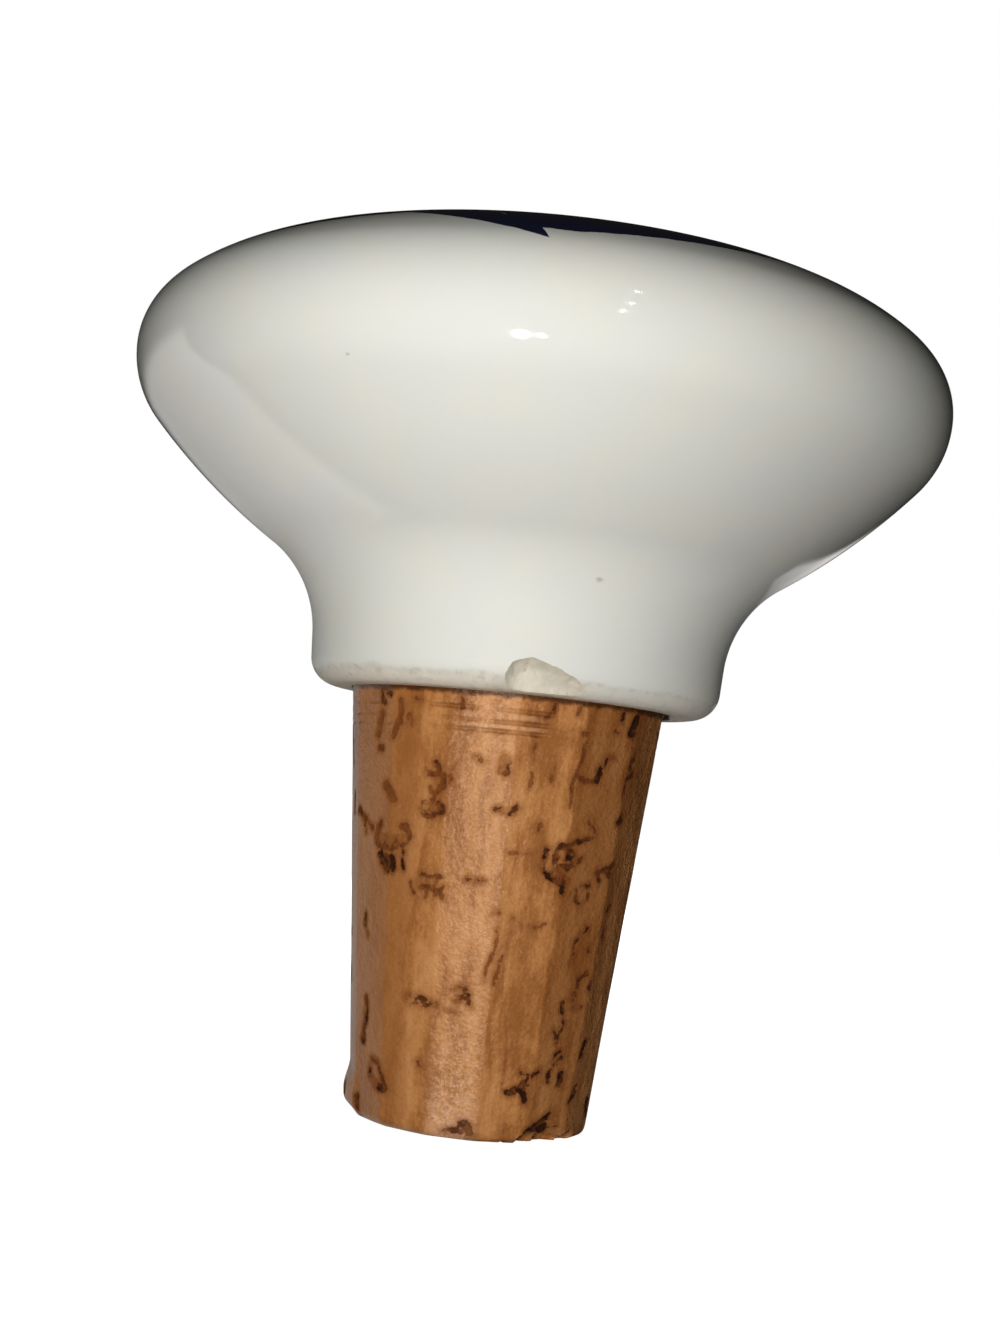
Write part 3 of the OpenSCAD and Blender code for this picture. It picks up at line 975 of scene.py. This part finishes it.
def natural_cork(tree):
    place = object_place(tree)
    x, y, z = tree.parts(place)
    turn = tree.turn_of(x - CORK_X, y)
    bend = (tree.noise(place, 0.22, 2) - 0.5) * 1.6
    layer = x * 0.94 + y * 0.34 + bend
    bands = tree.noise(tree.joined(layer, 0, z * 0.03), 0.8, 3, 0.55)
    patches = tree.noise(tree.vector("MULTIPLY", place, (1, 1, 0.6)), 0.5, 4, 0.55)
    fibres = tree.noise(tree.vector("MULTIPLY", place, (3, 3, 0.5)), 1, 3, 0.5)
    grain = tree.noise(place, 4.5, 4, 0.6)
    tone = bands * 0.42 + patches * 0.33 + fibres * 0.12 + grain * 0.13
    shade = tree.mix(tree.rise(tone, 0.42, 0.53), CORK_DEEP, CORK_MID)
    shade = tree.mix(tree.rise(tone, 0.5, 0.62), shade, CORK_PALE)

    # a darker growth layer to the right of a clean boundary
    edge = 0.49 + (tree.noise(place, 0.4, 2) - 0.5) * 0.12
    layered = tree.rise(turn - edge, -0.01, 0.02) * tree.fall(turn, 1.0, 1.16)
    layered = layered * (0.4 + 0.4 * tree.rise(z, 3, 8))
    shade = tree.mix(layered, shade, tree.mix(tree.rise(tone, 0.42, 0.6), CORK_LAYER, CORK_DEEP))

    # painted shade: the flat on the left is made darker
    shade = tree.mix(tree.fall(turn, -0.66, -0.46) * tree.rise(turn, -1.8, -1.4) * 0.62, shade, CORK_DEEP)
    # painted sheen and glints: a pale strip down the front, strongest near the free end and under the collar
    painted_sheen = tree.fall(abs(turn + 0.13), 0.08, 0.26)
    painted_sheen = painted_sheen * (0.26 + 0.6 * tree.fall(z, 3, 9) + 0.3 * tree.rise(z, 23, 24.5))
    painted_glints = tree.rise(tree.noise(place, 4.5, 3, 0.7), 0.5, 0.6)
    sheen_patches = tree.rise(tree.noise(place, 1.8, 4, 0.6), 0.36, 0.62) * 0.4 + tree.fall(z, 1, 3.5) * 0.4
    painted_sheen = painted_sheen * (sheen_patches + painted_glints * 0.5)
    shade = tree.mix(painted_sheen, shade, CORK_PAINTED_SHEEN)

    gap = tree.node("ShaderNodeAttribute", {"attribute_name": "mark_gap"}).out("Fac")
    dark = tree.node("ShaderNodeAttribute", {"attribute_name": "mark_dark"}).out("Fac")
    dark = (dark * (0.55 + 0.9 * tree.rise(tree.noise(place, 1.7, 3, 0.6), 0.34, 0.66))).least(1)
    gap = gap - 0.05 + (tree.noise(place, 3.5, 5, 0.7) - 0.5) * 0.4 + (tree.noise(place, 1.4, 2) - 0.5) * 0.16
    shade = tree.mix(tree.fall(gap, 0, 0.4) * (0.2 + 0.5 * dark), shade, PORE_BROWN)
    tone_in_pore = dark * 1.5 - 0.3 + (tree.noise(place, 5, 3) - 0.5) * 1.2
    core = tree.mix(tone_in_pore.most(0).least(1), PORE_BROWN, PORE_DARK)
    shade = tree.mix(tree.fall(gap, 0, 0.06) * (0.5 * dark + 0.55).least(4 * dark), shade, core)

    # the turned rings, with painted shade in their grooves
    rings = 0
    for height in RING_GROOVES:
        rings = rings + tree.fall(abs(z - height), 0.02, 0.19)
    in_front = ring_front(tree, turn)
    rings = rings * tree.rise(tree.noise(place, 0.5, 2), 0.3, 0.6) * (0.2 + 0.8 * in_front)
    shade = tree.mix(rings * 0.34, shade, PORE_BROWN)
    # painted highlights on the lands between the grooves
    land_highlights = 0
    for height in HIGHLIGHT_LANDS:
        land_highlights = land_highlights + tree.fall(abs(z - height), 0.05, 0.2)
    land_highlights = land_highlights * tree.fall(abs(turn + 0.01), 0.14, 0.32)
    land_highlights = land_highlights * tree.rise(tree.noise(place, 1.3, 3, 0.6), 0.3, 0.6)
    shade = tree.mix(land_highlights * 0.36, shade, CORK_PAINTED_SHEEN)
    # painted shade: a dark line under the collar, in the gap where the cork meets the head
    seam_shade = z + (tree.noise(place, 1.5, 3) - 0.5) * 0.5
    shade = tree.mix(tree.rise(seam_shade, COLLAR_Z - 0.42, COLLAR_Z - 0.1) * 0.85, shade, PORE_DARK)

    crinkle = tree.noise(place, 2.4, 2, 0.5)
    glitter = tree.noise(place, 6, 2, 0.5)
    relief = grain * 0.03 + crinkle * 0.09 + glitter * 0.03 - rings * 0.1
    return {
        "Base Color": shade,
        "Roughness": 0.28 + 0.14 * grain + 0.55 * tree.fall(gap, 0, 0.3),
        "Specular IOR Level": 0.42,
        "Specular Tint": (1, 0.78, 0.62, 1),
        "Normal": bump(tree, relief),
    }


# ---------------------------------------------------------------- the object
glaze = new_finish("white_glaze", white_glaze)
clay = new_finish("bare_clay", bare_clay)
cork_finish = new_finish("natural_cork", natural_cork)
dressed = [
    (ceramic_head(glaze, clay), "ceramic_head", "glazed_ceramic"),
    (cork_plug(cork_finish), "cork", "natural_cork"),
]
for piece, node, slot in dressed:
    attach(piece, "root")
    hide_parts(node)


# ---------------------------------------------------------------- floor, lamps and camera
def floor_and_room():
    """A pale floor that keeps the shadow, and a white ground behind a dim room."""
    span = 6
    corners = [(-span, -span, 0), (span, -span, 0), (span, span, 0), (-span, span, 0)]
    floor = new_object("floor", corners, (), [(0, 1, 2, 3)])
    material = bpy.data.materials.new("pale_floor")
    tree = cleared_tree(material)
    seen = tree.seen_ground()
    x, y, _ = tree.parts(object_place(tree))
    far = tree.rise(tree.reach(x, y), 40, 130)
    paper = tree.node("ShaderNodeBsdfDiffuse", {}, {"Color": (0.4, 0.4, 0.4, 1)})
    brightness = seen * (0.95 + 0.15 * far)
    glow = tree.node("ShaderNodeEmission", {}, {"Color": (1, 1, 1, 1), "Strength": brightness})
    both = tree.node("ShaderNodeAddShader", {}, (paper, glow))
    tree.node("ShaderNodeOutputMaterial", {}, {"Surface": both})
    floor.data.materials.append(material)
    floor.visible_glossy = False

    world = bpy.data.worlds.new("studio")
    bpy.context.scene.world = world
    tree = cleared_tree(world)
    ground = tree.node(
        "ShaderNodeBackground", {}, {"Color": (1, 1, 1, 1), "Strength": tree.seen_ground() * 0.975 + 0.025}
    )
    tree.node("ShaderNodeOutputWorld", {}, {"Surface": ground})


def dark_room():
    """A dim room that only the gloss on the object reflects."""
    frame_mesh = bmesh.new()
    bmesh.ops.create_icosphere(frame_mesh, subdivisions=3, radius=2)
    mesh = bpy.data.meshes.new("dark_room")
    frame_mesh.to_mesh(mesh)
    frame_mesh.free()
    room = bpy.data.objects.new("dark_room", mesh)
    bpy.context.scene.collection.objects.link(room)
    material = bpy.data.materials.new("dim_walls")
    tree = cleared_tree(material)
    x, y, z = tree.parts(tree.scaled(object_place(tree), 1 / 2000))
    ground = tree.rise(y, 0.36, 0.41) * tree.fall(z, -0.02, 0.14)
    to_right = tree.fall(x + 0.4 * z, 0.3, 0.34) * tree.rise(z, -0.24, -0.2)
    pale = ground * (1.3 - 0.8 * y * tree.fall(x, 0, 0.2)) * tree.fall(x, -0.1, 0).most(to_right)
    shade = tree.mix(pale, (0.012, 0.011, 0.01, 1), (1, 0.98, 0.96, 1))
    walls = tree.node("ShaderNodeEmission", {}, {"Color": shade, "Strength": 1})
    tree.node("ShaderNodeOutputMaterial", {}, {"Surface": walls})
    mesh.materials.append(material)
    for ray in ("camera", "diffuse", "transmission", "shadow", "volume_scatter"):
        setattr(room, "visible_" + ray, False)


def lamp(name, place, aim, wide, tall, power, mirrored=False, beam=180):
    """An oval lamp at a place in millimetres: a soft one, or one that only gloss mirrors."""
    light = bpy.data.lights.new(name, "AREA")
    light.shape = "ELLIPSE"
    light.size = wide * MM
    light.size_y = tall * MM
    light.energy = power
    light.spread = radians(beam)
    stand = bpy.data.objects.new(name, light)
    stand.location = Vector(place) * MM
    way = Vector(aim) - Vector(place)
    stand.rotation_mode = "QUATERNION"
    stand.rotation_quaternion = way.to_track_quat("-Z", "Y")
    stand.visible_camera = False
    stand.visible_diffuse = not mirrored
    stand.visible_glossy = mirrored
    bpy.context.scene.collection.objects.link(stand)


def camera():
    """The viewpoint: close, low and rolled a little, so that the head leans right."""
    lens = bpy.data.cameras.new("viewpoint")
    lens.sensor_fit = "VERTICAL"
    lens.sensor_height = 36
    lens.lens = 48.6
    lens.clip_start = 0.001
    stand = bpy.data.objects.new("viewpoint", lens)
    place, aim = Vector((-0.3, -115, 20)), Vector((-1.04, 0, 28.66))
    stand.location = place * MM
    level = (aim - place).to_track_quat("-Z", "Y")
    stand.rotation_mode = "QUATERNION"
    stand.rotation_quaternion = level @ Quaternion((0, 0, 1), radians(5.65))
    bpy.context.scene.collection.objects.link(stand)
    bpy.context.scene.camera = stand


floor_and_room()
dark_room()
lamp("key", (-15, -118, 16), (0, 0, 36), 10, 10, 0.0885)
lamp("back", (0, 280, 120), (0, 0, 36), 50, 50, 0.55)
lamp("top", (0, 20, 160), (0, -2, 54), 18, 18, 0.0009, beam=16)
lamp("glint", (-9.5, -82, 6), (0, 0, 40), 4, 9, 0.022, True)
lamp("small_glint", (-2.6, -83, 6), (0, 0, 40), 2, 5, 0.0028, True)
for place in ((25, -76, 72), (24, -81, 57), (22, -83, 47)):
    lamp("spark", place, (4, -26, 46), 0.9, 1.8, 0.0011, True)
camera()
bpy.context.scene.view_settings.view_transform = "Standard"
